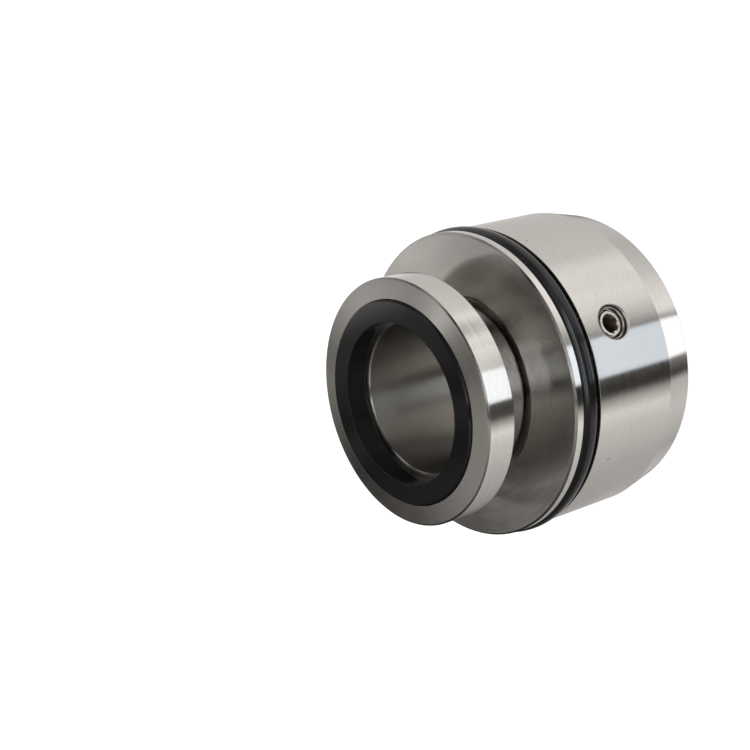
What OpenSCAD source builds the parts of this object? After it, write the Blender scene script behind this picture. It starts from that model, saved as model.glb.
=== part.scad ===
// Spring-loaded mechanical seal unit, standing on its rear end with the seal face up.
// Z is the shaft axis and z = 0 is the rear face of the housing. All sizes are millimetres.

/* [Shaft and overall] */
// Diameter of the shaft that the seal is made for
shaft_d = 35; // [33:0.5:36]
// Diametral clearance between the shaft and the steel bore
shaft_clearance = 0.2; // [0.1:0.05:0.4]
// Distance from the rear face to the outer corner of the front ring
body_to_front = 57.4; // [56:0.1:60]

/* [Housing] */
// Outside diameter of the housing
housing_d = 72; // [70:0.5:76]
// Distance from the rear face to the flange face
flange_z = 38.9; // [38:0.1:41]
// Diameter of the rear face, at the small end of the lead-in taper
rear_face_d = 68.6; // [66:0.2:70]
// Length of the lead-in taper at the rear
rear_taper_len = 8.2; // [5:0.1:12]
// Width of the land in front of the O-ring groove
land_w = 2.25; // [1.8:0.05:3]
// Edge break round the flange face
flange_chamfer = 0.45; // [0.2:0.05:0.8]
// Diameter of the recess round the neck
neck_recess_d = 44; // [43:0.2:46]
// Depth of the recess round the neck
neck_recess_depth = 2; // [1:0.1:2.5]
// Diameter of the spring chamber
chamber_d = 54; // [53:0.2:56]
// Distance from the rear face to the front end of the spring chamber
chamber_z = 27.9; // [27.4:0.1:28.6]

/* [Housing O-ring] */
// Section diameter of the O-ring on the housing
housing_ring_section = 5.3; // [4.8:0.1:5.6]
// How far this O-ring stands out of the housing
housing_ring_proud = 0.6; // [0.2:0.05:0.9]
// Free width left behind this O-ring in its groove
housing_groove_spare = 0.1; // [0.05:0.05:0.6]

/* [Face holder] */
// Outside diameter of the front ring
front_ring_d = 57.4; // [55:0.2:62]
// Length of the front ring at its outside diameter
front_ring_len = 7.1; // [6.8:0.1:9]
// Rise of the slightly conical front face, from its outer edge to the pocket
front_cone_rise = 0.84; // [0.3:0.02:1.2]
// Edge break round the front ring
front_ring_chamfer = 0.4; // [0.2:0.05:0.8]
// Outside diameter of the neck
neck_d = 41.6; // [41:0.1:42.4]
// Fillet where the neck meets the front ring
neck_fillet = 0.8; // [0.4:0.1:1.5]
// Distance from the rear face of the housing to the rear end of the neck
neck_end_z = 12; // [11.5:0.1:13]
// Edge break at both ends of the steel bore
bore_chamfer = 0.28; // [0.1:0.02:0.5]

/* [Face ring] */
// Inside diameter of the face ring
face_ring_id = 37.4; // [36.8:0.1:38.2]
// Outside diameter of the face ring
face_ring_od = 47.5; // [46.5:0.1:49]
// Radial gap between the face ring and its pocket
face_pocket_gap = 0.15; // [0.1:0.05:0.3]
// Depth of the pocket below the outer corner of the front ring
face_pocket_depth = 4.4; // [4:0.1:5]
// Thickness of the face ring
face_ring_t = 5.8; // [5.4:0.1:6.6]
// Edge break on the face ring
face_ring_chamfer = 0.35; // [0.1:0.05:0.6]
// Section diameter of the O-ring round the face ring
face_o_ring_section = 1.6; // [1.2:0.1:1.8]
// Diameter of the pins that keep the face ring from turning
face_pin_d = 2.5; // [2:0.1:2.8]
// Length of these pins
face_pin_len = 3.6; // [3:0.1:3.8]
// How far these pins stand out of the pocket floor
face_pin_out = 1.6; // [1:0.1:2]
// Number of these pins
face_pin_count = 2; // [2:1:4]

/* [Neck O-ring] */
// Section diameter of the O-ring that slides on the neck
neck_ring_section = 3; // [2.6:0.1:3.2]
// Axial play of this O-ring in its groove
neck_groove_spare = 0.8; // [0.5:0.1:1.2]
// Length of the guide land in front of this O-ring
guide_land = 1.7; // [1.2:0.1:2]

/* [Springs] */
// Outside diameter of each spring
spring_d = 4.6; // [4:0.1:5]
// Wire diameter of each spring
spring_wire = 0.8; // [0.6:0.05:0.8]
// Turns of each spring, with one closed turn at each end
spring_turns = 7; // [6:0.5:7.5]
// Axial travel of the face holder
travel = 4; // [2.5:0.1:4.2]
// Thickness of the thrust ring that the springs push on
thrust_ring_t = 3.4; // [3:0.1:4]
// Thickness of the ring that backs the springs
spring_retainer_t = 3; // [2.6:0.1:3.4]
// Inside diameter of the ring that backs the springs
spring_retainer_id = 40; // [38:0.5:42]
// Depth of the pockets that hold the spring ends
spring_pocket = 1.5; // [0.8:0.1:1.8]

/* [Retaining rings] */
// Thickness of the retaining ring on the neck
neck_clip_t = 1.2; // [1:0.1:1.4]
// Groove depth of this ring
neck_clip_depth = 0.7; // [0.5:0.05:0.9]
// How far this ring stands out of the neck
neck_clip_out = 1.6; // [1.2:0.1:2]
// Thickness of the retaining ring in the housing
housing_clip_t = 1.5; // [1.2:0.1:1.8]
// Groove depth of this ring
housing_clip_depth = 1.1; // [0.8:0.1:1.5]
// How far this ring stands into the bore
housing_clip_in = 2.4; // [2:0.1:3]
// Distance from the rear face to this ring
housing_clip_z = 2.1; // [1.6:0.1:2.6]
// Opening angle of both retaining rings
clip_gap_angle = 26; // [20:1:34]

/* [Set screws] */
// Distance from the rear face to the axis of the screws
screw_z = 22.2; // [21.9:0.1:22.8]
// Thread diameter of the screws
screw_d = 8; // [7:0.5:8]
// Radial clearance of the screws in their holes
screw_gap = 0.05; // [0.02:0.01:0.1]
// Depth of the screw heads below the outside of the housing
screw_sink = 1.2; // [0.6:0.1:1.8]
// Diameter of the dog point
dog_d = 5.5; // [5:0.1:5.6]
// Length of the dog point
dog_len = 4.3; // [3.8:0.1:4.6]
// Depth of the slots in the neck that the dog points run in
slot_depth = 1.6; // [1.2:0.1:1.7]
// Clearance between a dog point and the bottom of its slot
slot_floor_gap = 0.3; // [0.1:0.05:0.5]
// Size across the flats of the hexagon socket
socket_af = 4; // [3:0.5:4]
// Depth of the hexagon socket
socket_depth = 4.5; // [3:0.5:5]
// Edge break at the socket end of the screws
screw_chamfer = 0.7; // [0.4:0.1:1]
// Depth of the countersinks at the mouths of the screw holes
countersink = 0.7; // [0.3:0.1:0.9]

/* [Hidden] */
$fn = 96;

// Pieces spaced evenly round the axis, one node each
spring_count = 9;
screw_count = 3;

// Clearances between pieces that touch or slide
seat_gap = 0.02;
slide_gap = 0.08;
face_groove_spare = 0.4;
pin_hole_spare = 0.2;
cut = 1;

// Radii that several pieces share
bore_r = (shaft_d + shaft_clearance) / 2;
housing_r = housing_d / 2;
neck_r = neck_d / 2;
chamber_r = chamber_d / 2;
guide_r = neck_r + slide_gap;

// Outer O-ring and its groove, just behind the land
housing_groove_top = flange_z - land_w;
housing_groove_w = housing_ring_section + housing_groove_spare;
housing_ring_r = housing_r + housing_ring_proud - housing_ring_section / 2;
housing_groove_r = housing_ring_r - housing_ring_section / 2 - seat_gap;
housing_ring_z = housing_groove_top - seat_gap - housing_ring_section / 2;

// Neck O-ring and its groove inside the housing
neck_groove_top = flange_z - neck_recess_depth - guide_land;
neck_groove_w = neck_ring_section + neck_groove_spare;
neck_ring_r = guide_r + neck_ring_section / 2;
neck_groove_r = guide_r + neck_ring_section + seat_gap;
neck_ring_z = neck_groove_top - neck_groove_w / 2;

// Face holder and the face ring in its pocket
pocket_r = face_ring_od / 2 + face_pocket_gap;
pocket_z = body_to_front - face_pocket_depth;
ring_back_z = body_to_front - front_ring_len;
face_top_z = pocket_z + seat_gap + face_ring_t;
face_o_ring_z = pocket_z + face_pocket_depth / 2;
face_groove_w = face_o_ring_section + face_groove_spare;
face_o_ring_r = face_ring_od / 2 + face_o_ring_section / 2 + seat_gap;
face_groove_r = face_o_ring_r + face_o_ring_section / 2 + seat_gap;
face_pin_shift = 0.6;
face_pin_r = (face_ring_id / 2 + neck_r) / 2 + face_pin_shift;

// Screws, and the slots in the neck that their dog points run in
screw_top_r = housing_r - screw_sink;
slot_floor_r = neck_r - slot_depth;
slot_r = dog_d / 2 + screw_gap;
slot_spare = 0.2;
dog_tip_r = slot_floor_r + slot_floor_gap;
dog_top_r = dog_tip_r + dog_len;

// Springs between the thrust ring and the ring that backs them
screw_clip_gap = 0.35;
spring_side_gap = 0.15;
neck_clip_z = screw_z - slot_r - screw_clip_gap - neck_clip_t;
neck_clip_r = neck_r + neck_clip_out;
neck_clip_turn = 120;
neck_clip_ear_d = 3.2;
housing_clip_ear_d = 4.4;
thrust_top_z = neck_clip_z - seat_gap;
thrust_z = thrust_top_z - thrust_ring_t;
retainer_z = housing_clip_z + housing_clip_t + seat_gap;
spring_low_z = retainer_z + spring_retainer_t - spring_pocket + seat_gap;
spring_high_z = thrust_z + spring_pocket - seat_gap;
spring_circle_r = (neck_r + chamber_r) / 2;
spring_hole_r = spring_d / 2 + spring_side_gap;

// Places a child on the side of the part, with its own Z pointing outwards
module radial(turn, height) {
    rotate([0, 0, turn - 90])
        translate([0, 0, height])
            rotate([0, 90, 0])
                children();
}

// One revolved ring of rectangular section
module band(r_in, r_out, z_low, z_high) {
    rotate_extrude()
        translate([r_in, z_low])
            square([r_out - r_in, z_high - z_low]);
}

module o_ring(centre_r, centre_z, section) {
    rotate_extrude()
        translate([centre_r, centre_z])
            circle(d = section, $fn = 48);
}

// Main turned body: land, O-ring groove, barrel, lead-in taper and stepped bore
module housing() {
    groove_low = housing_groove_top - housing_groove_w;
    neck_groove_low = neck_groove_top - neck_groove_w;
    clip_r = chamber_r + housing_clip_depth;
    clip_low = housing_clip_z - seat_gap;
    clip_high = housing_clip_z + housing_clip_t + seat_gap;
    color([0.66, 0.65, 0.63])
        difference() {
            // Turned so that the body's seam keeps away from the screw holes and their opposite sides
            rotate([0, 0, -15]) rotate_extrude()
                polygon([
                    [chamber_r + 0.5, 0],
                    [rear_face_d / 2 - 0.3, 0],
                    [rear_face_d / 2, 0.3],
                    [housing_r, rear_taper_len],
                    [housing_r, groove_low - 0.15],
                    [housing_r - 0.15, groove_low],
                    [housing_groove_r, groove_low],
                    [housing_groove_r, housing_groove_top],
                    [housing_r, housing_groove_top],
                    [housing_r, flange_z - flange_chamfer],
                    [housing_r - flange_chamfer, flange_z],
                    [neck_recess_d / 2 + 0.2, flange_z],
                    [neck_recess_d / 2, flange_z - 0.2],
                    [neck_recess_d / 2, flange_z - neck_recess_depth],
                    [guide_r, flange_z - neck_recess_depth],
                    [guide_r, neck_groove_top],
                    [neck_groove_r, neck_groove_top],
                    [neck_groove_r, neck_groove_low],
                    [guide_r, neck_groove_low],
                    [guide_r, chamber_z],
                    [chamber_r, chamber_z],
                    [chamber_r, clip_high],
                    [clip_r, clip_high],
                    [clip_r, clip_low],
                    [chamber_r, clip_low],
                    [chamber_r, 0.5]
                ]);
            for (i = [0 : screw_count - 1])
                radial(i * 360 / screw_count, screw_z)
                    screw_hole();
        }
}

// Hole with a countersunk mouth, from inside the spring chamber to outside the housing
module screw_hole() {
    hole_r = screw_d / 2 + screw_gap;
    translate([0, 0, guide_r])
        cylinder(r = hole_r, h = housing_r, $fn = 64);
    translate([0, 0, housing_r - countersink])
        cylinder(r1 = hole_r, r2 = hole_r + countersink + cut, h = countersink + cut, $fn = 64);
}

module housing_o_ring() {
    color([0.06, 0.06, 0.06])
        o_ring(housing_ring_r, housing_ring_z, housing_ring_section);
}

module neck_o_ring() {
    color([0.06, 0.06, 0.06])
        o_ring(neck_ring_r, neck_ring_z, neck_ring_section);
}

// Stainless front ring and neck, turned as one piece with the pocket for the face ring
module face_holder() {
    outer = front_ring_d / 2;
    groove_low = face_o_ring_z - face_groove_w / 2;
    groove_high = face_o_ring_z + face_groove_w / 2;
    rim_z = body_to_front + front_cone_rise;
    clip_low = neck_clip_z - seat_gap;
    clip_high = neck_clip_z + neck_clip_t + seat_gap;
    clip_floor = neck_r - neck_clip_depth;
    fillet = [for (a = [0 : 15 : 90])
        [neck_r + neck_fillet * (1 - cos(a)), ring_back_z - neck_fillet * (1 - sin(a))]];
    color([0.63, 0.62, 0.60])
        difference() {
            rotate_extrude()
                polygon(concat([
                    [bore_r + bore_chamfer, neck_end_z],
                    [neck_r - 0.5, neck_end_z],
                    [neck_r, neck_end_z + 0.5],
                    [neck_r, clip_low],
                    [clip_floor, clip_low],
                    [clip_floor, clip_high],
                    [neck_r, clip_high]],
                    fillet, [
                    [outer - 0.2, ring_back_z],
                    [outer, ring_back_z + 0.2],
                    [outer, body_to_front],
                    [outer - front_ring_chamfer, body_to_front + front_ring_chamfer * 0.7],
                    [pocket_r + 0.1, rim_z],
                    [pocket_r, rim_z - 0.1],
                    [pocket_r, groove_high],
                    [face_groove_r, groove_high],
                    [face_groove_r, groove_low],
                    [pocket_r, groove_low],
                    [pocket_r, pocket_z],
                    [bore_r + bore_chamfer, pocket_z],
                    [bore_r, pocket_z - bore_chamfer],
                    [bore_r, neck_end_z + bore_chamfer]]));
            for (i = [0 : screw_count - 1])
                drive_slot(i * 360 / screw_count);
            pin_holes(pocket_z + face_pin_out - face_pin_len - seat_gap, pocket_z + cut);
        }
}

// Closed slot in the neck: a dog point runs in it and stops at its rear end
module drive_slot(turn) {
    slot_run = travel + slot_spare;
    slot_h = slot_depth + cut;
    radial(turn, screw_z)
        translate([0, 0, slot_floor_r]) {
            cylinder(r = slot_r, h = slot_h, $fn = 64);
            translate([-slot_run, 0, 0])
                cylinder(r = slot_r, h = slot_h, $fn = 64);
            translate([-slot_run, -slot_r, 0])
                cube([slot_run, 2 * slot_r, slot_h]);
        }
}

module pin_holes(z_low, z_high) {
    for (i = [0 : face_pin_count - 1])
        rotate([0, 0, i * 360 / face_pin_count])
            translate([face_pin_r, 0, z_low])
                cylinder(d = face_pin_d + 2 * seat_gap, h = z_high - z_low, $fn = 48);
}

// Lapped silicon carbide ring, with blind holes at the back for its pins
module face_ring() {
    r_in = face_ring_id / 2;
    r_out = face_ring_od / 2;
    back = pocket_z + seat_gap;
    c = face_ring_chamfer;
    color([0.10, 0.10, 0.11])
        difference() {
            rotate_extrude()
                polygon([
                    [r_in + c, back],
                    [r_out - c, back],
                    [r_out, back + c],
                    [r_out, face_top_z - c],
                    [r_out - c, face_top_z],
                    [r_in + c / 3, face_top_z],
                    [r_in, face_top_z - c / 3],
                    [r_in, back + c]
                ]);
            pin_holes(back - cut, pocket_z + face_pin_out + pin_hole_spare);
        }
}

module face_o_ring() {
    color([0.06, 0.06, 0.06])
        o_ring(face_o_ring_r, face_o_ring_z, face_o_ring_section);
}

module face_pins() {
    color([0.72, 0.72, 0.72])
        for (i = [0 : face_pin_count - 1])
            rotate([0, 0, i * 360 / face_pin_count])
                translate([face_pin_r, 0, pocket_z + face_pin_out - face_pin_len])
                    cylinder(d = face_pin_d, h = face_pin_len, $fn = 48);
}

module spring_pockets(z_low, z_high) {
    for (i = [0 : spring_count - 1])
        rotate([0, 0, (i + 0.5) * 360 / spring_count - 90])
            translate([spring_circle_r, 0, z_low])
                cylinder(r = spring_hole_r, h = z_high - z_low, $fn = 48);
}

// Ring that the springs push forwards against the retaining ring on the neck
module thrust_ring() {
    color([0.60, 0.60, 0.59])
        difference() {
            band(neck_r + slide_gap, chamber_r - slide_gap, thrust_z, thrust_top_z);
            spring_pockets(thrust_z - cut, thrust_z + spring_pocket);
        }
}

module spring_retainer() {
    top = retainer_z + spring_retainer_t;
    color([0.60, 0.60, 0.59])
        difference() {
            band(spring_retainer_id / 2, chamber_r - slide_gap / 2, retainer_z, top);
            spring_pockets(top - spring_pocket, top + cut);
        }
}

// Flat outline of an open retaining ring with two eared ends
module clip_outline(r_in, r_out, ear_r, ear_d) {
    half_gap = clip_gap_angle / 2;
    far = r_out * 2;
    difference() {
        circle(r = r_out);
        circle(r = r_in);
        polygon([[0, 0], far * [cos(half_gap), sin(half_gap)], [far * 1.5, 0],
            far * [cos(half_gap), -sin(half_gap)]]);
    }
    for (side = [-1, 1])
        rotate([0, 0, side * (half_gap + 4.5)])
            difference() {
                translate([ear_r, 0])
                    circle(d = ear_d, $fn = 48);
                translate([ear_r, 0])
                    circle(d = ear_d * 0.42, $fn = 48);
            }
}

// Retaining ring in the neck groove
module thrust_clip() {
    color([0.55, 0.55, 0.54])
        translate([0, 0, neck_clip_z])
            rotate([0, 0, neck_clip_turn])
                linear_extrude(neck_clip_t)
                    clip_outline(neck_r - neck_clip_depth + seat_gap, neck_clip_r, neck_clip_r,
                        neck_clip_ear_d);
}

// Retaining ring in the housing groove, with its ears inwards
module retaining_ring() {
    outer = chamber_r + housing_clip_depth - seat_gap;
    inner = chamber_r - housing_clip_in;
    color([0.55, 0.55, 0.54])
        translate([0, 0, housing_clip_z])
            rotate([0, 0, -90])
                linear_extrude(housing_clip_t)
                    clip_outline(inner, outer, inner - 0.4, housing_clip_ear_d);
}

// Height of the wire's centre after a number of turns, with a closed turn at each end
function coil_rise(turn, turns, wire, free) =
    turn < 1 ? wire * turn :
    turn > turns - 1 ? free - wire * (turns - turn) :
    wire + (free - 2 * wire) * (turn - 1) / (turns - 2);

// One coil spring, swept as a tube of six sides
module coil(z_low, z_high) {
    sides = 6;
    steps_per_turn = 14;
    steps = ceil(spring_turns * steps_per_turn);
    mean_r = (spring_d - spring_wire) / 2;
    wire_r = spring_wire / 2;
    free = z_high - z_low - spring_wire;
    points = [for (i = [0 : steps])
        let (turn = spring_turns * i / steps, a = 360 * turn,
            z = z_low + wire_r + coil_rise(turn, spring_turns, spring_wire * 1.04, free))
        for (s = [0 : sides - 1])
            let (b = 360 * s / sides + 90, r = mean_r + wire_r * cos(b))
                [r * cos(a), r * sin(a), z + wire_r * sin(b)]];
    walls = [for (i = [0 : steps - 1], s = [0 : sides - 1])
        [i * sides + s, i * sides + (s + 1) % sides,
            (i + 1) * sides + (s + 1) % sides, (i + 1) * sides + s]];
    caps = [[for (s = [sides - 1 : -1 : 0]) s], [for (s = [0 : sides - 1]) steps * sides + s]];
    polyhedron(points, concat(walls, caps), convexity = 8);
}

// Spring number i of the circle
module spring(i) {
    color([0.70, 0.70, 0.69])
        if (i <= spring_count)
            rotate([0, 0, (i - 0.5) * 360 / spring_count - 90])
                translate([spring_circle_r, 0, 0])
                    coil(spring_low_z, spring_high_z);
}

// Socket set screw with a dog point, number i of the circle
module set_screw(i) {
    thread_len = screw_top_r - dog_top_r;
    hex_r = socket_af / 2 / cos(30);
    color([0.72, 0.72, 0.70])
        radial((i - 1) * 360 / screw_count, screw_z)
            difference() {
                rotate_extrude()
                    polygon([
                        [0, dog_tip_r],
                        [dog_d / 2 - 0.3, dog_tip_r],
                        [dog_d / 2, dog_tip_r + 0.3],
                        [dog_d / 2, dog_top_r],
                        [screw_d / 2 - 0.5, dog_top_r],
                        [screw_d / 2, dog_top_r + 0.5],
                        [screw_d / 2, dog_top_r + thread_len - screw_chamfer],
                        [screw_d / 2 - screw_chamfer, screw_top_r],
                        [0, screw_top_r]
                    ]);
                translate([0, 0, screw_top_r - socket_depth])
                    cylinder(r = hex_r, h = socket_depth + cut, $fn = 6);
            }
}

housing();
housing_o_ring();
neck_o_ring();
spring_retainer();
retaining_ring();
spring(1);  // spring_1
spring(2);  // spring_2
spring(3);  // spring_3
spring(4);  // spring_4
spring(5);  // spring_5
spring(6);  // spring_6
spring(7);  // spring_7
spring(8);  // spring_8
spring(9);  // spring_9
face_holder();
face_ring();
face_o_ring();
face_pins();
thrust_ring();
thrust_clip();
set_screw(1);  // set_screw_1
set_screw(2);  // set_screw_2
set_screw(3);  // set_screw_3
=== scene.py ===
# Looks of a spring-loaded mechanical seal unit: turned steel, lapped face, rubber and screws.
import math

import bpy
import numpy as np
from mathutils import Matrix, Vector


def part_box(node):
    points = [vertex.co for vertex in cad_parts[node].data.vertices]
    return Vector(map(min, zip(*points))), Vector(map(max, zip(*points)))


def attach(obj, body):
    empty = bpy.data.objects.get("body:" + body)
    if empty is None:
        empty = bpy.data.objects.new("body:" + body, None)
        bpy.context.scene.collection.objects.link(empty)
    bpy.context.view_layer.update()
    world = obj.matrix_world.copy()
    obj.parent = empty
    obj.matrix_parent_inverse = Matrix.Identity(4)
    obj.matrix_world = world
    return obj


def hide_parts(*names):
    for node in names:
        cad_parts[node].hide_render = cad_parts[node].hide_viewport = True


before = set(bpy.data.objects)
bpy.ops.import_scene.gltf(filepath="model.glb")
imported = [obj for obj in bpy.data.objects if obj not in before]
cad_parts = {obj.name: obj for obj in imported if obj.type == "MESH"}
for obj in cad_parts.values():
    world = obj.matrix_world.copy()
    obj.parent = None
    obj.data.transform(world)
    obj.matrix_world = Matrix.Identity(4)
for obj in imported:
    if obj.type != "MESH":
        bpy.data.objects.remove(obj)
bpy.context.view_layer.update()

# Sizes in millimetres; what the frame can tell comes from its boxes
MM = 0.001
SEGMENTS = 360
BUMP_DEPTH = 0.1 * MM


def corner(node, low=False):
    """Highest or lowest corner of a CAD node, in millimetres."""
    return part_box(node)[0 if low else 1] / MM


HOUSING_R = corner("housing").x
FLANGE_Z = corner("housing").z
REAR_R = 34.3
REAR_TAPER = 8.2
RING_SECTION = corner("housing_o_ring").z - corner("housing_o_ring", low=True).z
RING_R = corner("housing_o_ring").x - RING_SECTION / 2
LAND_W = 2.25
GROOVE_W = RING_SECTION + 0.1
CHAMBER_R = 27.0
CHAMBER_Z = 27.9
NECK_R = 20.8
GUIDE_R = NECK_R + 0.08
RECESS_R = 22.0
RECESS_DEPTH = 2.0
NECK_GROOVE_R = GUIDE_R + 3.02
NECK_GROOVE = (31.4, 35.2)
CLIP_GROOVE_R = CHAMBER_R + 1.1
CLIP_GROOVE = (2.08, 3.62)

NECK_END = corner("face_holder", low=True).z
FRONT_R = corner("face_holder").x
RIM_Z = corner("face_holder").z
FRONT_EDGE_Z = RIM_Z - 0.84
FRONT_LEN = 7.1
NECK_CLIP_GROOVE = (17.83, 19.07)
NECK_CLIP_DEPTH = 0.7
BORE_R = 17.6
BORE_CHAMFER = 0.28
POCKET_R = 23.9
FACE_LOW = corner("face_ring", low=True).z
POCKET_Z = FACE_LOW - 0.02
FACE_GROOVE = (FRONT_EDGE_Z - 3.2, FRONT_EDGE_Z - 1.2)
FACE_GROOVE_R = POCKET_R + 1.5
FACE_IN_R = 18.7
FACE_OUT_R = corner("face_ring").x
FACE_Z = corner("face_ring").z

SCREW_Z = 22.2
SCREW_R = 4.0
SCREW_TOP = -corner("set_screw_1", low=True).y
DOG_TIP = -corner("set_screw_1").y
DOG_LEN = 4.3
DOG_R = 2.75
PITCH = 1.25
SLOT_RUN = 4.2
SOCKET_HALF = 2.0
SOCKET_DEPTH = 4.5
SOCKET_TURN = 0.3

SPRINGS = 9
EDGE = 0.05

# Place and axes of the photograph's camera, and the angle of its top round the seal's axis
PHOTO_PLACE = Vector((-0.035398, -0.276981, 0.271329))
PHOTO_LENS = 74.72
PHOTO_RIGHT = Vector((-0.343036, -0.531262, -0.774653)).normalized()
PHOTO_AHEAD = Vector((0.123500, 0.792026, -0.597865)).normalized()
PHOTO_UP = PHOTO_RIGHT.cross(PHOTO_AHEAD).normalized()
UP_TURN = -17.9

# What the steel mirrors, as short (place, level) lists. A turned side mirrors the level for its own
# angle from the photograph's top, and so do the rear taper, a 45 degree edge, an inner wall, a slightly
# conical front and the haze of a flat front. A flat front mirrors the level for its height in the
# photograph. The levels are rounded from a fit to how bright the steel is in the photograph.
DARK = 0.01
SIDES = [(-180, 0.55), (-110, 0.75), (-30, 0.95), (-5, 0.95), (15, 0.7), (25, 0.75), (45, 0.9),
         (55, 1.4), (66, 1.05), (71, 0.6), (76.5, DARK), (98, DARK), (98.8, 0.25), (105, 1.1), (110, 0.85),
         (120, 0.7), (140, 0.45), (150, 0.3), (165, DARK), (180, 0.2)]
TAPERS = [(-180, 0.55), (-110, 0.7), (-30, 0.8), (15, 0.8), (45, 0.65), (55, 0.75), (66, 1.0), (74, 1.15),
          (76.5, 0.25), (91.5, 0.25), (98, DARK), (99, 0.65), (110, 0.75), (125, 0.5), (150, 1.0),
          (180, 0.85)]
EDGES = [(-120, DARK), (-70, 0.2), (-20, 0.5), (15, 0.2), (23, 0.05), (33, 0.35), (38, 0.35), (49, DARK),
         (53, DARK), (70, 0.1), (77, 0.3), (89, 0.85), (91, 0.15), (97, DARK), (100, 0.5), (120, 0.2),
         (150, DARK)]
INSIDES = [(-150, DARK), (-90, 0.2), (-30, 0.5), (0, 0.8), (20, 0.8), (32, 0.25), (42, DARK), (50, 0.1),
           (56, 0.55), (68, 0.5), (76, 0.05), (90, 0.05), (98, 0.3), (115, DARK), (150, 0.05), (180, DARK)]
CONES = [(-180, 0.1), (-160, DARK), (-140, DARK), (-80, 0.3), (-60, DARK), (-20, 0.3), (0, 0.15),
         (20, 0.15), (42, 0.6), (58, 0.35), (80, 0.2), (100, 0.45), (140, 0.45), (180, 0.05)]
RINGS = [(-140, DARK), (-100, 0.2), (-80, 0.15), (-60, DARK), (-40, 0.2), (-20, 0.75), (0, 1.15), (20, 0.8),
         (34, 0.1), (40, 0.9), (45, 2.8), (50, 0.9), (55, DARK), (80, DARK), (100, 0.05), (120, 0.05),
         (140, DARK)]
FLATS = [(-0.5, 0.05), (-0.36, DARK), (-0.335, 0.2), (-0.30, DARK), (-0.29, 0.1), (-0.285, 0.25),
         (-0.273, DARK), (-0.24, 0.2), (-0.2125, 0.2), (-0.2112, 0.6), (-0.19, 1.35), (-0.15, 2.4),
         (-0.05, 0.65)]

# The window in the studio, in degrees from the photograph's top, with its glass and the sky in it
WINDOW = (76.7, 91.3)
GLASS = (0.19, 0.23, 0.29)
SKY = (0.63, 0.71, 0.78)
SUNLIT = (0.85, 0.85, 0.86)
# Cards beside the window that only the front ring mirrors: from, to, soft edge in turns, level
RIM_CARDS = ((50, 62, 0.012, 0.4), (66, 77.4, 0.001, 1.3), (91.6, 98.5, 0.001, 0.13))
# Lamps that show as lines on the rubber
LAMPS = (62, 100)
LAMP_LIGHT = (4.0, 4.1, 4.2)


# Mesh code

def new_object(name, verts, faces):
    """A mesh object in the scene, from points in millimetres."""
    mesh = bpy.data.meshes.new(name)
    mesh.from_pydata([Vector(v) * MM for v in verts], [], faces)
    mesh.validate()
    obj = bpy.data.objects.new(name, mesh)
    bpy.context.scene.collection.objects.link(obj)
    return obj


def soften(corners, steps=4):
    """Rounds each (radius, z, fillet) corner; gives points of the outline and their normals."""
    points = []
    normals = []
    count = len(corners)
    for k, (r, z, fillet) in enumerate(corners):
        here = Vector((r, z))
        before = Vector(corners[k - 1][:2])
        after = Vector(corners[(k + 1) % count][:2])
        into = (here - before).normalized()
        out = (after - here).normalized()
        turn = math.atan2(into.x * out.y - into.y * out.x, into.dot(out))
        slope = abs(math.tan(turn / 2))
        room = 0.45 * min((here - before).length, (after - here).length)
        reach = min(fillet * slope, room)
        radius = reach / slope
        side = 1 if turn > 0 else -1
        n_in = Vector((into.y, -into.x))
        centre = here - into * reach - n_in * radius * side
        for s in range(steps + 1):
            a = turn * s / steps
            n = Vector((n_in.x * math.cos(a) - n_in.y * math.sin(a),
                        n_in.x * math.sin(a) + n_in.y * math.cos(a)))
            points.append(centre + n * radius * side)
            normals.append(n)
    return points, normals


def lathe(name, corners, segments=SEGMENTS, steps=4):
    """Revolves a closed outline, given anticlockwise as (radius, z, fillet) corners."""
    points, normals = soften(corners, steps)
    count = len(points)
    verts = []
    for j in range(segments):
        a = 2 * math.pi * j / segments
        verts += [(p.x * math.cos(a), p.x * math.sin(a), p.y) for p in points]
    faces = []
    for j in range(segments):
        k = (j + 1) % segments
        for i in range(count):
            n = (i + 1) % count
            faces.append((j * count + i, k * count + i, k * count + n, j * count + n))
    obj = new_object(name, verts, faces)
    set_lathe_normals(obj, points, normals)
    return obj, points, normals


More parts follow.
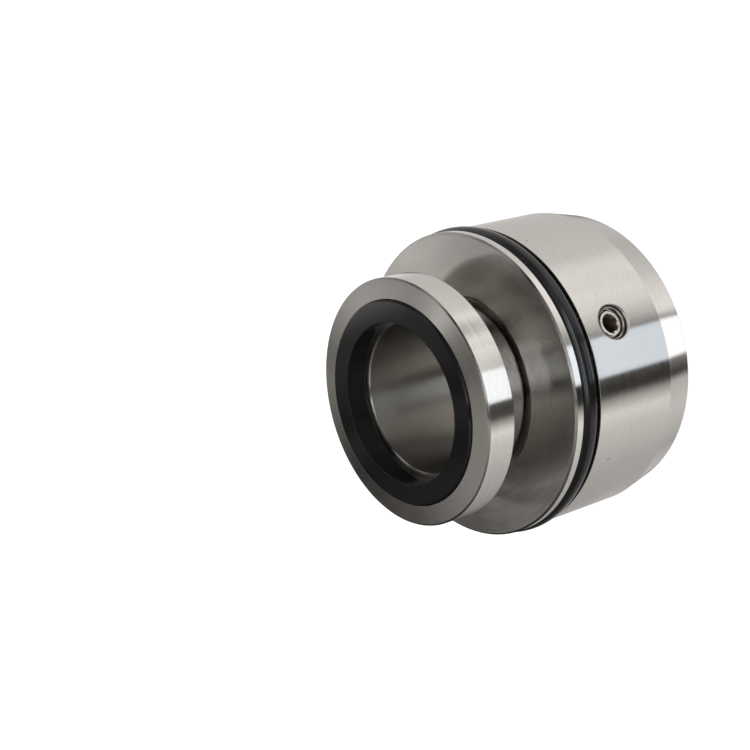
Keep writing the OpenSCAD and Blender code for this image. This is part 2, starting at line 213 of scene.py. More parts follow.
def set_lathe_normals(obj, points, normals):
    """Gives faces on the revolved outline its true normals; cut faces stay flat, with material 1."""
    mesh = obj.data
    co = np.zeros(len(mesh.vertices) * 3)
    mesh.vertices.foreach_get("co", co)
    co = co.reshape(-1, 3) / MM
    rz = np.stack([np.hypot(co[:, 0], co[:, 1]), co[:, 2]], 1)
    p = np.array([tuple(v) for v in points])
    n = np.array([tuple(v) for v in normals])
    best = np.full(len(co), 1e9)
    found = np.zeros((len(co), 2))
    for k in range(len(p)):
        a, b = p[k], p[(k + 1) % len(p)]
        span = b - a
        t = np.clip(((rz - a) @ span) / max(span @ span, 1e-12), 0, 1)
        gap = np.linalg.norm(rz - a - t[:, None] * span, axis=1)
        mixed = n[k] * (1 - t[:, None]) + n[(k + 1) % len(p)] * t[:, None]
        closer = gap < best - 1e-6
        best = np.where(closer, gap, best)
        found = np.where(closer[:, None], mixed, found)
    radial_dir = co[:, :2] / np.maximum(rz[:, :1], 1e-9)
    wanted = np.concatenate([radial_dir * found[:, :1], found[:, 1:]], 1)
    wanted /= np.maximum(np.linalg.norm(wanted, axis=1, keepdims=True), 1e-9)
    # Each corner of each face: its vertex and the face's own normal
    count = len(mesh.polygons)
    corner_vert = np.zeros(len(mesh.loops), int)
    mesh.loops.foreach_get("vertex_index", corner_vert)
    totals = np.zeros(count, int)
    mesh.polygons.foreach_get("loop_total", totals)
    flat = np.zeros(count * 3)
    mesh.polygons.foreach_get("normal", flat)
    flat = np.repeat(flat.reshape(-1, 3), totals, axis=0)
    good = (best[corner_vert] < 0.012) & ((wanted[corner_vert] * flat).sum(1) > 0.9)
    whole = np.logical_and.reduceat(good, np.concatenate([[0], np.cumsum(totals)[:-1]]))
    loops = np.where(np.repeat(whole, totals)[:, None], wanted[corner_vert], flat)
    mesh.polygons.foreach_set("use_smooth", np.ones(count, bool))
    mesh.polygons.foreach_set("material_index", np.where(whole, 0, 1).astype(int))
    mesh.normals_split_custom_set(loops.tolist())


def threaded_bar(name, major_r, minor_r, low, high, mouth=None, segments=96, rows_per_pitch=10):
    """A closed bar along Z with a right-hand thread; mouth is the height where a 120 degree cone
    leaves the crest."""
    rows = int((high - low) / PITCH * rows_per_pitch)
    verts = []
    for i in range(rows + 1):
        z = low + (high - low) * i / rows
        for j in range(segments):
            turn = j / segments
            # Height within one pitch, as a trapezoid with flat crests and roots
            h = (z / PITCH - turn) % 1.0
            ramp = min(max(abs(h - 0.5) * 2.7 - 0.17, 0.0), 1.0)
            r = minor_r + (major_r - minor_r) * (1 - ramp)
            if mouth is not None:
                r = max(r, minor_r + (z - mouth) * 1.73)
            a = 2 * math.pi * turn
            verts.append((r * math.cos(a), r * math.sin(a), z))
    faces = []
    for i in range(rows):
        for j in range(segments):
            k = (j + 1) % segments
            faces.append((i * segments + j, i * segments + k, (i + 1) * segments + k,
                          (i + 1) * segments + j))
    faces.append(tuple(range(segments - 1, -1, -1)))
    faces.append(tuple(rows * segments + j for j in range(segments)))
    return new_object(name, verts, faces)


def joined(pieces):
    """One object with the meshes of all pieces, which lie apart."""
    verts = []
    faces = []
    for piece in pieces:
        start = len(verts)
        verts += [v.co / MM for v in piece.data.vertices]
        faces += [tuple(start + i for i in face.vertices) for face in piece.data.polygons]
        bpy.data.objects.remove(piece)
    return new_object("joined", verts, faces)


def prism(name, radius, low, high, sides, turn=0.0, stretch=0.0):
    """An upright prism; stretch lengthens its outline along -X, as a slot."""
    ring = []
    for j in range(sides):
        a = 2 * math.pi * j / sides + turn
        x = radius * math.cos(a)
        ring.append((x - (stretch if x < -1e-6 else 0.0), radius * math.sin(a)))
    verts = [(x, y, z) for z in (low, high) for x, y in ring]
    faces = [(j, (j + 1) % sides, sides + (j + 1) % sides, sides + j) for j in range(sides)]
    faces.append(tuple(range(sides - 1, -1, -1)))
    faces.append(tuple(sides + j for j in range(sides)))
    return new_object(name, verts, faces)


def cone(name, r_low, r_high, low, high, segments=96):
    """An upright cone or cylinder, closed at both ends."""
    verts = []
    for r, z in ((r_low, low), (r_high, high)):
        verts += [(r * math.cos(2 * math.pi * j / segments), r * math.sin(2 * math.pi * j / segments), z)
                  for j in range(segments)]
    faces = [(j, (j + 1) % segments, segments + (j + 1) % segments, segments + j)
             for j in range(segments)]
    faces.append(tuple(range(segments - 1, -1, -1)))
    faces.append(tuple(segments + j for j in range(segments)))
    return new_object(name, verts, faces)


def radial(obj, number, height=SCREW_Z):
    """Moves a piece made along Z to screw number 1, 2 or 3: its Z points out, its X down."""
    turn = math.radians(120 * (number - 1) - 90)
    place = (Matrix.Rotation(turn, 4, "Z") @ Matrix.Translation((0, 0, height * MM))
             @ Matrix.Rotation(math.pi / 2, 4, "Y"))
    obj.data.transform(place)
    return obj


def carve(obj, cutters, kind="DIFFERENCE"):
    """Applies boolean cuts and deletes the cutters."""
    for cutter in cutters:
        mod = obj.modifiers.new("cut", "BOOLEAN")
        mod.operation = kind
        mod.solver = "EXACT"
        mod.object = cutter
        graph = bpy.context.evaluated_depsgraph_get()
        mesh = bpy.data.meshes.new_from_object(obj.evaluated_get(graph))
        obj.modifiers.clear()
        obj.data = mesh
        bpy.data.objects.remove(cutter)


def smooth_by_angle(obj, degrees):
    """Smooth shading, with sharp edges where faces meet at more than this angle."""
    mesh = obj.data
    for face in mesh.polygons:
        face.use_smooth = True
    mesh.set_sharp_from_angle(angle=math.radians(degrees))


# Materials

def nodes_of(name):
    mat = bpy.data.materials.new(name)
    mat.use_nodes = True
    tree = mat.node_tree
    shader = tree.nodes["Principled BSDF"]
    return mat, tree, shader


class Web:
    """Short helpers that add nodes to one tree."""

    def __init__(self, tree):
        self.tree = tree

    def add(self, kind, **settings):
        node = self.tree.nodes.new(kind)
        for key, value in settings.items():
            setattr(node, key, value)
        return node

    def link(self, source, target):
        if isinstance(source, (int, float)):
            target.default_value = source
        else:
            self.tree.links.new(source, target)

    def math(self, operation, a, b=0.0, c=0.0, clamp=False):
        node = self.add("ShaderNodeMath", operation=operation, use_clamp=clamp)
        for socket, value in zip(node.inputs, (a, b, c)):
            self.link(value, socket)
        return node.outputs[0]

    def combine(self, x, y, z):
        node = self.add("ShaderNodeCombineXYZ")
        for socket, value in zip(node.inputs, (x, y, z)):
            self.link(value, socket)
        return node.outputs[0]

    def noise(self, vector, scale, detail=2.0, rough=0.5):
        node = self.add("ShaderNodeTexNoise")
        self.link(vector, node.inputs["Vector"])
        node.inputs["Scale"].default_value = scale
        node.inputs["Detail"].default_value = detail
        node.inputs["Roughness"].default_value = rough
        return node.outputs["Fac"]

    def ramp(self, fac, stops):
        node = self.add("ShaderNodeValToRGB")
        self.link(fac, node.inputs[0])
        band = node.color_ramp
        while len(band.elements) < len(stops):
            band.elements.new(0.5)
        for element, (place, value) in zip(band.elements, stops):
            element.position = place
            element.color = (*value, 1.0)
        return node.outputs["Color"]

    def mix(self, fac, a, b):
        node = self.add("ShaderNodeMix", data_type="RGBA")
        self.link(fac, node.inputs[0])
        for socket, value in ((node.inputs[6], a), (node.inputs[7], b)):
            if isinstance(value, tuple):
                socket.default_value = (*value, 1.0)
            else:
                self.link(value, socket)
        return node.outputs[2]

    def range(self, value, low, high, to_low, to_high):
        node = self.add("ShaderNodeMapRange")
        for socket, v in zip(node.inputs, (value, low, high, to_low, to_high)):
            self.link(v, socket)
        return node.outputs[0]


def cylinder_coordinates(web):
    """Position of the surface: radius and height in millimetres, and its direction round Z."""
    place = web.add("ShaderNodeTexCoord").outputs["Object"]
    split = web.add("ShaderNodeSeparateXYZ")
    web.link(place, split.inputs[0])
    x, y, z = split.outputs
    r = web.math("SQRT", web.math("ADD", web.math("MULTIPLY", x, x), web.math("MULTIPLY", y, y)))
    return (place, web.math("MULTIPLY", r, 1000.0), web.math("MULTIPLY", z, 1000.0),
            web.math("DIVIDE", x, r), web.math("DIVIDE", y, r))


def add_bump(web, shader, pattern, strength):
    """Lets a fine pattern tilt the surface a little."""
    bump = web.add("ShaderNodeBump")
    bump.inputs["Strength"].default_value = strength
    bump.inputs["Distance"].default_value = BUMP_DEPTH
    web.link(pattern, bump.inputs["Height"])
    web.link(bump.outputs[0], shader.inputs["Normal"])


def turned_steel(name, color, side=(0.13, 0.6), face=(0.22, 0.95), barrel=None, seed=0.0):
    """Lathe-turned stainless steel: fine lines round the axis, smudges, specks and hairlines.

    side, face and barrel are (roughness, stretch of the highlights across the lines)."""
    mat, tree, shader = nodes_of(name)
    web = Web(tree)
    place, r, z, cx, cy = cylinder_coordinates(web)
    along = web.math("ADD", web.math("ADD", r, z), seed)

    def streak(per_mm, roundness, detail):
        vector = web.combine(web.math("MULTIPLY", along, per_mm), web.math("MULTIPLY", cx, roundness),
                             web.math("MULTIPLY", cy, roundness))
        return web.math("SUBTRACT", web.noise(vector, 1.0, detail, 0.65), 0.5)

    fine = streak(5.0, 1.1, 4.0)
    broad = streak(0.9, 0.8, 3.0)
    cloud = web.math("SUBTRACT", web.noise(place, 110.0, 4.0, 0.6), 0.5)
    grain = web.math("SUBTRACT", web.noise(place, 2400.0, 2.0, 0.6), 0.5)
    tone = web.math("MULTIPLY", fine, 0.34)
    tone = web.math("MULTIPLY_ADD", broad, 0.22, tone)
    tone = web.math("MULTIPLY_ADD", cloud, 0.22, tone)
    tone = web.math("MULTIPLY_ADD", grain, 0.30, tone)
    # Hairline scratches across the lines and a few dark specks
    patch = web.range(web.noise(place, 70.0, 1.0), 0.56, 0.66, 0, 1)
    spin = web.add("ShaderNodeVectorRotate", rotation_type="EULER_XYZ")
    web.link(place, spin.inputs["Vector"])
    spin.inputs["Rotation"].default_value = (0.5, 0.9, 0.4)
    stretch = web.add("ShaderNodeVectorMath", operation="MULTIPLY")
    web.link(spin.outputs[0], stretch.inputs[0])
    stretch.inputs[1].default_value = (5200.0, 90.0, 240.0)
    hair = web.range(web.noise(stretch.outputs[0], 1.0, 0.0), 0.70, 0.76, 0, 1)
    cells = web.add("ShaderNodeTexVoronoi")
    web.link(place, cells.inputs["Vector"])
    cells.inputs["Scale"].default_value = 105.0
    dots = web.range(cells.outputs["Distance"], 0.018, 0.034, 1, 0)
    tone = web.math("SUBTRACT", tone, web.math("MULTIPLY", web.math("MULTIPLY", hair, patch), 0.16))
    dark = tuple(c * 0.72 for c in color)
    light = tuple(min(c * 1.28, 1.0) for c in color)
    shade = web.mix(web.math("ADD", tone, 0.5, clamp=True), dark, light)
    shade = web.mix(web.math("MULTIPLY", dots, 0.75), shade, (0.05, 0.045, 0.04))
    web.link(shade, shader.inputs["Base Color"])
    shader.inputs["Metallic"].default_value = 1.0
    # Faces, sides and barrel differ in finish
    normal = web.add("ShaderNodeSeparateXYZ")
    web.link(web.add("ShaderNodeNewGeometry").outputs["Normal"], normal.inputs[0])
    is_face = web.range(web.math("ABSOLUTE", normal.outputs[2]), 0.5, 0.8, 0, 1)
    rough = web.range(is_face, 0, 1, side[0], face[0])
    smear = web.range(is_face, 0, 1, side[1], face[1])
    if barrel:
        on = web.math("MULTIPLY", web.math("GREATER_THAN", z, REAR_TAPER),
                      web.math("LESS_THAN", z, FLANGE_Z - LAND_W - GROOVE_W))
        on = web.math("MULTIPLY", on, web.math("GREATER_THAN", r, HOUSING_R - 0.4))
        rough = web.math("MULTIPLY_ADD", on, web.math("SUBTRACT", barrel[0], rough), rough)
        smear = web.math("MULTIPLY_ADD", on, web.math("SUBTRACT", barrel[1], smear), smear)
        rough = web.math("MULTIPLY_ADD", web.math("MULTIPLY", fine, on), 0.2, rough)
    rough = web.math("MULTIPLY_ADD", broad, 0.06, rough)
    rough = web.math("MULTIPLY_ADD", cloud, 0.07, rough)
    web.link(rough, shader.inputs["Roughness"])
    web.link(smear, shader.inputs["Anisotropic"])
    shader.inputs["Anisotropic Rotation"].default_value = 0.25
    tangent = web.add("ShaderNodeTangent", direction_type="RADIAL", axis="Z")
    web.link(tangent.outputs[0], shader.inputs["Tangent"])
    add_bump(web, shader, web.math("MULTIPLY_ADD", grain, 0.3, fine), 0.03)
    return mat


def plain_steel(name, color, rough=0.28):
    """Small steel pieces: bright, slightly mottled and finely grained."""
    mat, tree, shader = nodes_of(name)
    web = Web(tree)
    place = web.add("ShaderNodeTexCoord").outputs["Object"]
    cloud = web.noise(place, 500.0, 3.0, 0.6)
    grain = web.noise(place, 5200.0, 2.0, 0.6)
    tone = web.math("ADD", web.math("MULTIPLY", cloud, 0.6), web.math("MULTIPLY", grain, 0.4))
    shade = web.mix(tone, tuple(c * 0.82 for c in color), tuple(min(c * 1.15, 1.0) for c in color))
    web.link(shade, shader.inputs["Base Color"])
    shader.inputs["Metallic"].default_value = 1.0
    web.link(web.range(cloud, 0.2, 0.8, rough - 0.07, rough + 0.1), shader.inputs["Roughness"])
    add_bump(web, shader, grain, 0.08)
    return mat


def threads_painted_highlight_and_shade(name):
    """Tapped holes: crests painted light as a highlight, bright countersinks, and roots painted near black
    as shade.
    """
    mat, tree, shader = nodes_of(name)
    web = Web(tree)
    place, r, z, cx, cy = cylinder_coordinates(web)
    # Distance from the axis of the nearest of the three screws
    turn = web.math("ADD", web.math("ARCTAN2", cy, cx), math.radians(90 + 60 + 360))
    turn = web.math("SUBTRACT", web.math("MODULO", turn, math.radians(120)), math.radians(60))
    across = web.math("MULTIPLY", r, web.math("SINE", turn))
    along = web.math("SUBTRACT", z, SCREW_Z)
    off = web.math("SQRT", web.math("ADD", web.math("MULTIPLY", across, across),
                                    web.math("MULTIPLY", along, along)))
    grain = web.noise(place, 3000.0, 3.0, 0.6)
    off = web.math("ADD", off, web.range(grain, 0, 1, -0.04, 0.04))
    # Painted light: the lighter band on the crests is a painted highlight, and the near-black band in the
    # roots is painted shade
    shade = web.ramp(web.range(off, 3.4, 4.8, 0, 1),
                     [(0.0, (0.86, 0.82, 0.76)), (0.12, (0.80, 0.76, 0.70)),
                      (0.22, (0.16, 0.14, 0.12)), (0.36, (0.03, 0.026, 0.022)),
                      (0.46, (0.04, 0.035, 0.03)), (0.54, (0.62, 0.59, 0.55)),
                      (1.0, (0.70, 0.67, 0.63))])
    web.link(shade, shader.inputs["Base Color"])
    shader.inputs["Metallic"].default_value = 1.0
    web.link(web.range(grain, 0.2, 0.8, 0.26, 0.40), shader.inputs["Roughness"])
    return mat


def socket_painted_shade(name):
    """Inside of the hexagon sockets: painted dark brown-black as the shade in the recess; dull and mottled.
    """
    mat, tree, shader = nodes_of(name)
    web = Web(tree)
    place = web.add("ShaderNodeTexCoord").outputs["Object"]
    cloud = web.noise(place, 900.0, 4.0, 0.6)
    # Near-black base colour: painted shade inside the socket
    shade = web.mix(web.range(cloud, 0.3, 0.7, 0, 1), (0.016, 0.011, 0.009), (0.070, 0.048, 0.036))
    web.link(shade, shader.inputs["Base Color"])
    web.link(web.range(cloud, 0.3, 0.7, 0.35, 0.6), shader.inputs["Roughness"])
    shader.inputs["Specular IOR Level"].default_value = 0.1
    return mat


def rubber(name):
    """Black rubber with a soft gloss."""
    mat, tree, shader = nodes_of(name)
    web = Web(tree)
    place = web.add("ShaderNodeTexCoord").outputs["Object"]
    cloud = web.noise(place, 220.0, 4.0, 0.6)
    grain = web.noise(place, 4200.0, 3.0, 0.6)
    shade = web.mix(cloud, (0.006, 0.006, 0.006), (0.015, 0.015, 0.016))
    web.link(shade, shader.inputs["Base Color"])
    web.link(web.range(cloud, 0.25, 0.75, 0.07, 0.12), shader.inputs["Roughness"])
    shader.inputs["Specular IOR Level"].default_value = 0.30
    add_bump(web, shader, grain, 0.05)
    return mat


def lapped_carbide(name):
    """Black silicon carbide: a near mirror on the lapped face, with very fine grain and hairlines."""
    mat, tree, shader = nodes_of(name)
    web = Web(tree)
    place = web.add("ShaderNodeTexCoord").outputs["Object"]
    cloud = web.noise(place, 90.0, 4.0, 0.6)
    grain = web.noise(place, 3600.0, 3.0, 0.65)
    shade = web.mix(web.math("ADD", web.math("MULTIPLY", cloud, 0.5), web.math("MULTIPLY", grain, 0.5)),
                    (0.002, 0.002, 0.0022), (0.007, 0.007, 0.0075))
    web.link(shade, shader.inputs["Base Color"])
    web.link(web.range(cloud, 0.25, 0.75, 0.02, 0.05), shader.inputs["Roughness"])
    shader.inputs["IOR"].default_value = 1.55
    add_bump(web, shader, grain, 0.03)
    return mat


HOUSING_STEEL = turned_steel("housing_steel", (0.64, 0.625, 0.60), face=(0.18, 1.0), barrel=(0.19, 1.0))
HOLDER_STEEL = turned_steel("holder_steel", (0.62, 0.605, 0.58), seed=37.0)
# The inner steel is the turned steel painted darker: painted shade in the bore, the drive slots and the
# parts inside the housing; its rougher sides are a real finish
INNER_STEEL_PAINTED_SHADE = turned_steel("inner_steel", (0.46, 0.445, 0.42), side=(0.36, 0.92), seed=11.0)
THREAD_STEEL_PAINTED_HIGHLIGHT_AND_SHADE = threads_painted_highlight_and_shade("thread_steel_painted_highlight_and_shade")
SOCKET_STEEL_PAINTED_SHADE = socket_painted_shade("socket_steel_painted_shade")
SCREW_STEEL = plain_steel("screw_steel", (0.74, 0.70, 0.64), rough=0.2)
CLIP_STEEL = plain_steel("clip_steel", (0.42, 0.42, 0.41), rough=0.36)
SPRING_STEEL = plain_steel("spring_steel", (0.62, 0.62, 0.61), rough=0.24)
PIN_STEEL = plain_steel("bright_steel", (0.66, 0.66, 0.65), rough=0.2)
RUBBER = rubber("black_rubber")
CARBIDE = lapped_carbide("silicon_carbide")


def dress(obj, mats):
    """Gives a piece its materials; the faces keep their numbers, which clear() would reset."""
    faces = obj.data.polygons
    numbers = np.zeros(len(faces), int)
    if isinstance(mats, list):
        faces.foreach_get("material_index", numbers)
    obj.data.materials.clear()
    for mat in mats if isinstance(mats, list) else [mats]:
        obj.data.materials.append(mat)
    faces.foreach_set("material_index", numbers)


def stand_for(obj, node, body, mats):
    """A finished piece takes the place of a CAD node."""
    dress(obj, mats)
    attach(obj, body)
    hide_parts(node)


# Housing

def build_housing():
    top = FLANGE_Z - LAND_W
    low = top - GROOVE_W
    groove_r = RING_R - RING_SECTION / 2 - 0.02
    e = EDGE
    corners = [
        (CHAMBER_R + 0.5, 0, e), (REAR_R, 0, 0.3), (HOUSING_R, REAR_TAPER, 0.15),
        (HOUSING_R, low, 0.15), (groove_r, low, 0.2), (groove_r, top, 0.2), (HOUSING_R, top, 0.1),
        (HOUSING_R, FLANGE_Z - 0.45, 0.1), (HOUSING_R - 0.45, FLANGE_Z, 0.1),
        (RECESS_R, FLANGE_Z, 0.2), (RECESS_R, FLANGE_Z - RECESS_DEPTH, 0.2),
        (GUIDE_R, FLANGE_Z - RECESS_DEPTH, e), (GUIDE_R, NECK_GROOVE[1], e),
        (NECK_GROOVE_R, NECK_GROOVE[1], 0.2),
        (NECK_GROOVE_R, NECK_GROOVE[0], 0.2), (GUIDE_R, NECK_GROOVE[0], e),
        (GUIDE_R, CHAMBER_Z, e), (CHAMBER_R, CHAMBER_Z, 0.3),
        (CHAMBER_R, CLIP_GROOVE[1], e), (CLIP_GROOVE_R, CLIP_GROOVE[1], e),
        (CLIP_GROOVE_R, CLIP_GROOVE[0], e), (CHAMBER_R, CLIP_GROOVE[0], e), (CHAMBER_R, 0.5, e)]
    obj, points, normals = lathe("housing_turned", corners)
    holes = [radial(threaded_bar("hole", SCREW_R + 0.05, SCREW_R - 0.52, CHAMBER_R - 2,
                                 HOUSING_R + 1.3, mouth=HOUSING_R - 0.72), n) for n in (1, 2, 3)]
    carve(obj, [joined(holes)])
    set_lathe_normals(obj, points, normals)
    stand_for(obj, "housing", "housing_unit", [HOUSING_STEEL, THREAD_STEEL_PAINTED_HIGHLIGHT_AND_SHADE])


# Face holder with front ring, neck and drive slots

def build_face_holder():
    back = FRONT_EDGE_Z - FRONT_LEN
    clip_low, clip_high = NECK_CLIP_GROOVE
    clip_r = NECK_R - NECK_CLIP_DEPTH
    ring_low, ring_high = FACE_GROOVE
    bevel = BORE_CHAMFER
    e = EDGE
    corners = [
        (BORE_R + bevel, NECK_END, e), (NECK_R - 0.5, NECK_END, e), (NECK_R, NECK_END + 0.5, e),
        (NECK_R, clip_low, e), (clip_r, clip_low, e), (clip_r, clip_high, e), (NECK_R, clip_high, e),
        (NECK_R, back, 0.8), (FRONT_R, back, 0.2), (FRONT_R, FRONT_EDGE_Z, 0.08),
        (FRONT_R - 0.4, FRONT_EDGE_Z + 0.28, 0.1), (POCKET_R, RIM_Z, 0.08),
        (POCKET_R, ring_high, e), (FACE_GROOVE_R, ring_high, e), (FACE_GROOVE_R, ring_low, e),
        (POCKET_R, ring_low, e), (POCKET_R, POCKET_Z, 0.15), (BORE_R + bevel, POCKET_Z, 0.06),
        (BORE_R, POCKET_Z - bevel, 0.06), (BORE_R, NECK_END + bevel, e)]
    obj, points, normals = lathe("face_holder_turned", corners)
    slots = [radial(prism("slot", DOG_R + 0.05, NECK_R - 1.6, NECK_R + 1, 48, stretch=SLOT_RUN), n)
             for n in (1, 2, 3)]
    carve(obj, [joined(slots)])
    set_lathe_normals(obj, points, normals)
    # The bore is rougher than the outside, and painted darker as shade
    for face in obj.data.polygons:
        middle = face.center / MM
        if middle.xy.length < BORE_R + 0.1:
            face.material_index = 1
    stand_for(obj, "face_holder", "face_unit", [HOLDER_STEEL, INNER_STEEL_PAINTED_SHADE])


def build_face_ring():
    corners = [
        (FACE_IN_R, FACE_LOW, 0.3), (FACE_OUT_R, FACE_LOW, 0.3), (FACE_OUT_R, FACE_Z - 0.35, 0.05),
        (FACE_OUT_R - 0.35, FACE_Z, 0.05), (FACE_IN_R, FACE_Z, 0.12)]
    obj, _, _ = lathe("face_ring_lapped", corners)
    stand_for(obj, "face_ring", "face_unit", CARBIDE)


def build_o_ring(name, node, body):
    section = corner(node).z - corner(node, low=True).z
    centre_r = corner(node).x - section / 2
    centre_z = corner(node).z - section / 2
    sides = 40
    ring = [(centre_r + section / 2 * math.cos(2 * math.pi * i / sides),
             centre_z + section / 2 * math.sin(2 * math.pi * i / sides), 1.0) for i in range(sides)]
    obj, _, _ = lathe(name, ring, steps=1)
    stand_for(obj, node, body, RUBBER)


# Set screws

def build_set_screws():
    """One socket set screw with a dog point, made once and placed three times."""
    dog_top = DOG_TIP + DOG_LEN
    obj = threaded_bar("screw", SCREW_R - 0.04, SCREW_R - 0.62, dog_top, SCREW_TOP)
    # What lies outside this turned form is cut off, which gives the end chamfers
    form, _, _ = lathe("form", [
        (0.02, DOG_TIP - 1, 0.01), (DOG_R + 0.5, DOG_TIP - 1, 0.01), (DOG_R + 0.5, dog_top - 0.1, 0.01),
        (SCREW_R - 0.7, dog_top - 0.1, 0.01), (SCREW_R + 0.1, dog_top + 0.7, 0.01),
        (SCREW_R + 0.1, SCREW_TOP - 1.27, 0.01), (SCREW_R - 1.1, SCREW_TOP - 0.07, 0.04),
        (SCREW_R - 1.16, SCREW_TOP, 0.04), (0.02, SCREW_TOP, 0.01)], segments=96, steps=2)
    carve(obj, [form], "INTERSECT")
    carve(obj, [cone("dog", DOG_R, DOG_R, DOG_TIP, dog_top + 0.2, 64)], "UNION")
    hex_r = SOCKET_HALF / math.cos(math.pi / 6)
    carve(obj, [prism("socket", hex_r, SCREW_TOP - SOCKET_DEPTH, SCREW_TOP + 1, 6, turn=SOCKET_TURN),
                cone("lead", hex_r - 0.3, hex_r + 0.12, SCREW_TOP - 0.3, SCREW_TOP + 0.12)])
    # Faces inside the socket get the darker material, which paints the shade in the recess
    for face in obj.data.polygons:
        middle = face.center / MM
        within_height = DOG_TIP + 1 < middle.z < SCREW_TOP - 0.2
        face.material_index = int(middle.xy.length < hex_r + 0.02 and within_height)
    smooth_by_angle(obj, 25)
    for number in (1, 2, 3):
        name = "set_screw_%d" % number
        copy = bpy.data.objects.new(name + "_threaded", obj.data.copy())
        bpy.context.scene.collection.objects.link(copy)
        radial(copy, number)
        stand_for(copy, name, "screw_%d" % number, [SCREW_STEEL, SOCKET_STEEL_PAINTED_SHADE])
    bpy.data.objects.remove(obj)


# Springs

def build_spring(number, turns=7, wire=0.8, outer=4.6, steps=28, sides=12):
    node = "spring_%d" % number
    low = corner(node, low=True).z + wire / 2
    free = corner(node).z - low - wire / 2
    turn_out = math.radians((number - 0.5) * 360 / SPRINGS - 90)
    middle = (NECK_R + CHAMBER_R) / 2
    mean = (outer - wire) / 2
    verts = []
    faces = []
    total = turns * steps
    for i in range(total + 1):
        t = i / steps
        if t < 1:
            rise = wire * 1.04 * t
        elif t > turns - 1:
            rise = free - wire * 1.04 * (turns - t)
        else:
            rise = wire * 1.04 + (free - 2 * wire * 1.04) * (t - 1) / (turns - 2)
        a = 2 * math.pi * t + turn_out
        for s in range(sides):
            b = 2 * math.pi * s / sides
            r = mean + wire / 2 * math.cos(b)
            verts.append((middle * math.cos(turn_out) + r * math.cos(a),
                          middle * math.sin(turn_out) + r * math.sin(a),
                          low + rise + wire / 2 * math.sin(b)))
    for i in range(total):
        for s in range(sides):
            k = (s + 1) % sides
            faces.append((i * sides + s, (i + 1) * sides + s, (i + 1) * sides + k, i * sides + k))
    faces.append(tuple(range(sides)))
    faces.append(tuple(total * sides + s for s in range(sides - 1, -1, -1)))
    obj = new_object(node + "_wound", verts, faces)
    smooth_by_angle(obj, 50)
    stand_for(obj, node, "housing_unit", SPRING_STEEL)


build_housing()
build_face_holder()
build_face_ring()
build_o_ring("housing_o_ring_moulded", "housing_o_ring", "housing_unit")
build_o_ring("neck_o_ring_moulded", "neck_o_ring", "housing_unit")
build_o_ring("face_o_ring_moulded", "face_o_ring", "face_unit")
build_set_screws()
for n in range(1, SPRINGS + 1):
    build_spring(n)

for node, mat in (("spring_retainer", INNER_STEEL_PAINTED_SHADE), ("thrust_ring", INNER_STEEL_PAINTED_SHADE),
                  ("retaining_ring", CLIP_STEEL), ("thrust_clip", CLIP_STEEL), ("face_pins", PIN_STEEL)):
    dress(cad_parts[node], mat)


# Floor, light and camera

def build_floor():
    size = 6000
    corners = [(-size, -size, 0), (size, -size, 0), (size, size, 0), (-size, size, 0)]
    floor = new_object("floor", corners, [(0, 1, 2, 3)])
    floor.location.z = -0.0002
    mat, tree, shader = nodes_of("floor_white")
    web = Web(tree)
    path = web.add("ShaderNodeLightPath")
    shader.inputs["Base Color"].default_value = (0.30, 0.30, 0.30, 1)
    shader.inputs["Roughness"].default_value = 0.9
    shader.inputs["Specular IOR Level"].default_value = 0.0
    shader.inputs["Emission Color"].default_value = (1, 1, 1, 1)
    seen = web.math("MAXIMUM", path.outputs["Is Camera Ray"],
                    web.math("MAXIMUM", path.outputs["Is Glossy Ray"], path.outputs["Is Transmission Ray"]))
    web.link(web.math("MULTIPLY", seen, 0.80), shader.inputs["Emission Strength"])
    dress(floor, mat)
    floor.visible_glossy = False
    # What the bore mirrors through the seal's open rear is in the seal's own shade
    angles = [a / 24 * math.pi for a in range(48)]
    disc = [(CHAMBER_R * math.cos(a), CHAMBER_R * math.sin(a), -0.1) for a in angles]
    shade = new_object("floor_shade", disc, [tuple(range(48))])
    mat, tree, shader = nodes_of("floor_shaded")
    veil = tree.nodes.new("ShaderNodeBsdfTransparent")
    veil.inputs["Color"].default_value = (0.85, 0.83, 0.80, 1)
    tree.links.new(veil.outputs[0], tree.nodes["Material Output"].inputs["Surface"])
    dress(shade, mat)
    shade.visible_camera = False
    shade.visible_diffuse = False
    shade.visible_shadow = False


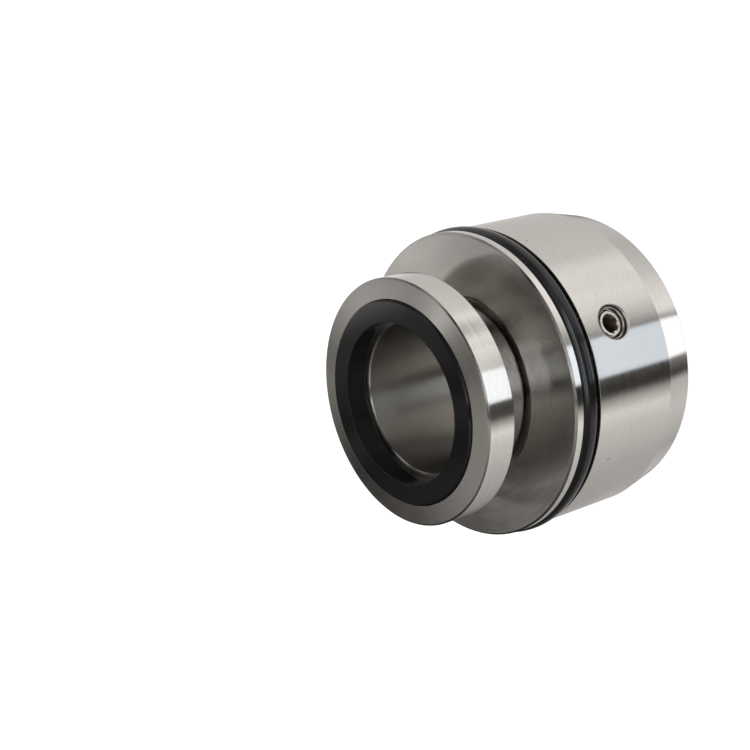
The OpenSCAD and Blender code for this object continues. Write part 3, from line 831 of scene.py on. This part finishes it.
def build_world():
    """White to the camera; what polished metal mirrors is a plain studio with a window."""
    world = bpy.data.worlds.new("studio")
    bpy.context.scene.world = world
    world.use_nodes = True
    world.cycles.sampling_method = "NONE"
    tree = world.node_tree
    tree.nodes.clear()
    web = Web(tree)
    looking = web.add("ShaderNodeTexCoord").outputs["Generated"]
    # The surface that mirrors this direction to the camera faces along the difference of the two
    facing = web.add("ShaderNodeVectorMath", operation="SUBTRACT")
    web.link(looking, facing.inputs[0])
    facing.inputs[1].default_value = PHOTO_AHEAD
    facing_unit = web.add("ShaderNodeVectorMath", operation="NORMALIZE")
    web.link(facing.outputs[0], facing_unit.inputs[0])
    split = web.add("ShaderNodeSeparateXYZ")
    web.link(facing_unit.outputs[0], split.inputs[0])
    # Flatness is 1 for a flat front, 0 for a turned side and below 0 for the rear taper
    x, y, flatness = split.outputs
    turn = web.math("MULTIPLY", web.math("ARCTAN2", y, x), -1 / (2 * math.pi))
    turn = web.math("FRACT", web.math("ADD", turn, UP_TURN / 360 + 0.5 + 1.0))

    def at(angle):
        return angle / 360 + 0.5

    def tint(level):
        warmth = 1 if level < 0.3 else 0.4
        return (level / 2, level / 2 * (1 - 0.07 * warmth), level / 2 * (1 - 0.14 * warmth))

    def across(stops, low, high):
        return [((place - low) / (high - low), tint(level)) for place, level in stops]

    def within(value, low, high, soft):
        return web.math("MULTIPLY", web.range(value, low, low + soft, 0, 1),
                        web.range(value, high - soft, high, 1, 0))

    sides = web.ramp(turn, across(SIDES, -180, 180))
    rim = within(flatness, -0.05, 0.01, 0.005)
    for low, high, soft, level in RIM_CARDS:
        card = web.math("MULTIPLY", within(turn, at(low), at(high), soft), rim)
        sides = web.mix(card, sides, tint(level))
    sides = web.mix(web.range(flatness, -0.12, -0.2, 0, 1), sides,
                    web.ramp(turn, across(TAPERS, -180, 180)))
    pane = within(turn, at(WINDOW[0]), at(WINDOW[1]), 0.0015)
    sides = web.mix(pane, sides, GLASS)
    sky = web.math("MULTIPLY", pane, within(flatness, -0.11, 0.08, 0.02))
    sides = web.mix(sky, sides, SKY)
    sun = web.math("ADD", rim, within(flatness, -0.36, -0.20, 0.02))
    sides = web.mix(web.math("MULTIPLY", pane, sun), sides, SUNLIT)
    sides = web.mix(web.range(flatness, -0.35, -0.5, 0, 0.7), sides, (0, 0, 0))
    edges = web.ramp(turn, across(EDGES, -180, 180))
    insides = web.ramp(turn, across(INSIDES, -180, 180))
    cones = web.ramp(turn, across(CONES, -180, 180))
    rings = web.ramp(turn, across(RINGS, -180, 180))
    height = web.add("ShaderNodeVectorMath", operation="DOT_PRODUCT")
    web.link(looking, height.inputs[0])
    height.inputs[1].default_value = PHOTO_UP
    flats = web.ramp(web.range(height.outputs["Value"], -0.5, 0.0, 0, 1), across(FLATS, -0.5, 0.0))
    studio = web.mix(web.range(flatness, 0.9955, 0.9985, 0, 1), rings, flats)
    studio = web.mix(web.range(flatness, 0.986, 0.993, 0, 1), cones, studio)
    studio = web.mix(web.range(flatness, 0.86, 0.96, 0, 1), edges, studio)
    studio = web.mix(web.range(flatness, 0.60, 0.66, 0, 1), insides, studio)
    studio = web.mix(web.range(flatness, 0.25, 0.33, 0, 1), sides, studio)
    lamps = web.math("ADD", within(flatness, 0.455, 0.475, 0.006), within(flatness, 0.585, 0.60, 0.006))
    lamps = web.math("MULTIPLY", lamps, within(turn, at(LAMPS[0]), at(LAMPS[1]), 0.02))
    studio = web.mix(lamps, studio, LAMP_LIGHT)
    mirror = web.add("ShaderNodeBackground")
    web.link(studio, mirror.inputs["Color"])
    mirror.inputs["Strength"].default_value = 2.0
    plain = web.add("ShaderNodeBackground")
    plain.inputs["Color"].default_value = (1, 1, 1, 1)
    plain.inputs["Strength"].default_value = 1.0
    path = web.add("ShaderNodeLightPath")
    pick = web.add("ShaderNodeMixShader")
    web.link(path.outputs["Is Glossy Ray"], pick.inputs[0])
    web.link(plain.outputs[0], pick.inputs[1])
    web.link(mirror.outputs[0], pick.inputs[2])
    out = web.add("ShaderNodeOutputWorld")
    web.link(pick.outputs[0], out.inputs[0])


def build_lamp(name, place, power, size):
    lamp = bpy.data.lights.new(name, "AREA")
    lamp.energy = power
    lamp.size = size
    obj = bpy.data.objects.new(name, lamp)
    bpy.context.scene.collection.objects.link(obj)
    obj.location = place
    obj.rotation_euler = (Vector((0, 0, 0.03)) - obj.location).to_track_quat("-Z", "Y").to_euler()
    obj.visible_camera = False
    obj.visible_glossy = False


def build_camera():
    """The photograph's view: the axis lies nearly level and the front points to the left."""
    cam = bpy.data.cameras.new("camera")
    cam.lens = PHOTO_LENS
    cam.sensor_width = 36.0
    cam.clip_start = 0.01
    obj = bpy.data.objects.new("camera", cam)
    bpy.context.scene.collection.objects.link(obj)
    basis = Matrix((PHOTO_RIGHT, PHOTO_UP, -PHOTO_AHEAD)).transposed().to_4x4()
    obj.matrix_world = Matrix.Translation(PHOTO_PLACE) @ basis
    bpy.context.scene.camera = obj


build_floor()
build_world()
build_lamp("lamp_top", (0.6, -0.2, 0.5), 4.0, 0.6)
build_lamp("lamp_side", (-0.5, -0.5, 0.6), 3.0, 0.6)
build_camera()
bpy.context.scene.view_settings.view_transform = "Standard"
